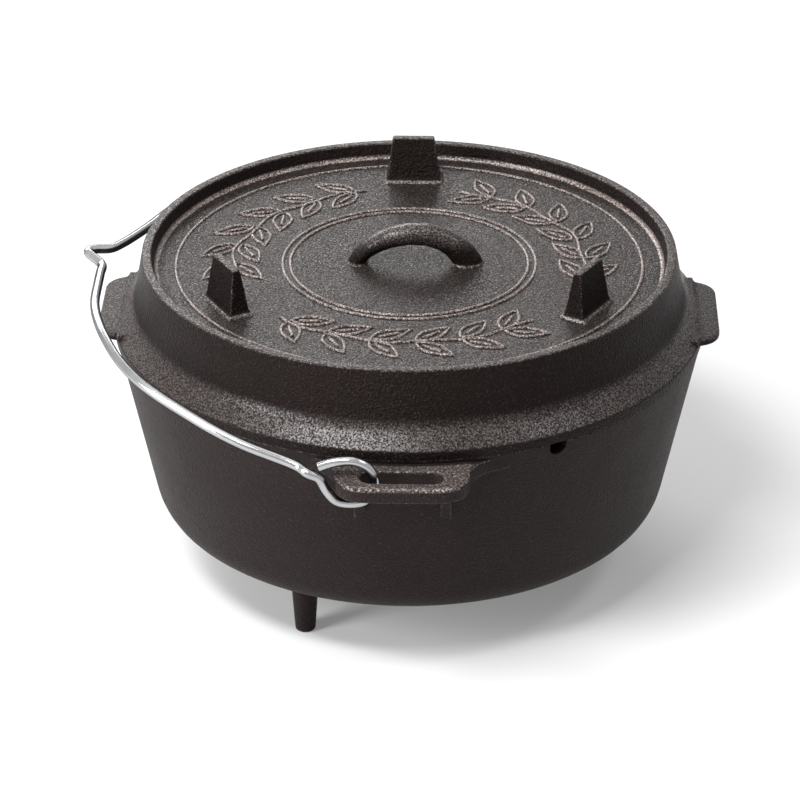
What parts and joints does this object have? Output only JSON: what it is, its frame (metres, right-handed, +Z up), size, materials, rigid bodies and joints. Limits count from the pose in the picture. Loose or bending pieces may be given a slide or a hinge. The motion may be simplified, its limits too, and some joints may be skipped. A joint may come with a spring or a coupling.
{
  "type": "dutch oven",
  "caption": "Round cast iron camp oven on three short legs, with slotted ears, a swinging wire bail and a deep lift-off lid that has a raised rim, an arched handle and feet.",
  "frame": {"origin": "on the pot's axis, at the centre of the bowl's flat underside; the tips of the legs stand 34 mm lower", "axes": "+Z up along the pot's axis; the ears are at -Y and +Y; the bail rests over the -X side and swings towards +X"},
  "size_m": [0.3339, 0.362, 0.1948],
  "materials": {
    "pot_iron": "seasoned, fine sand-cast grain",
    "lid_iron": "seasoned, fine sand-cast grain",
    "bail_steel": "bright zinc-plated drawn wire"
  },
  "bodies": {
    "pot": {"pot": "pot_iron"},
    "lid": {"lid": "lid_iron"},
    "bail": {"bail": "bail_steel"}
  },
  "joints": [
    {"name": "lid_lift", "type": "slide", "parent": "pot", "child": "lid", "axis": [0.5, 0, 0.866], "range_m": [0, 0.15]},
    {"name": "bail_swing", "type": "hinge", "parent": "pot", "child": "bail", "pos_m": [-0.02715, 0, 0.096], "axis": [0, 1, 0], "range_deg": [0, 110]}
  ]
}
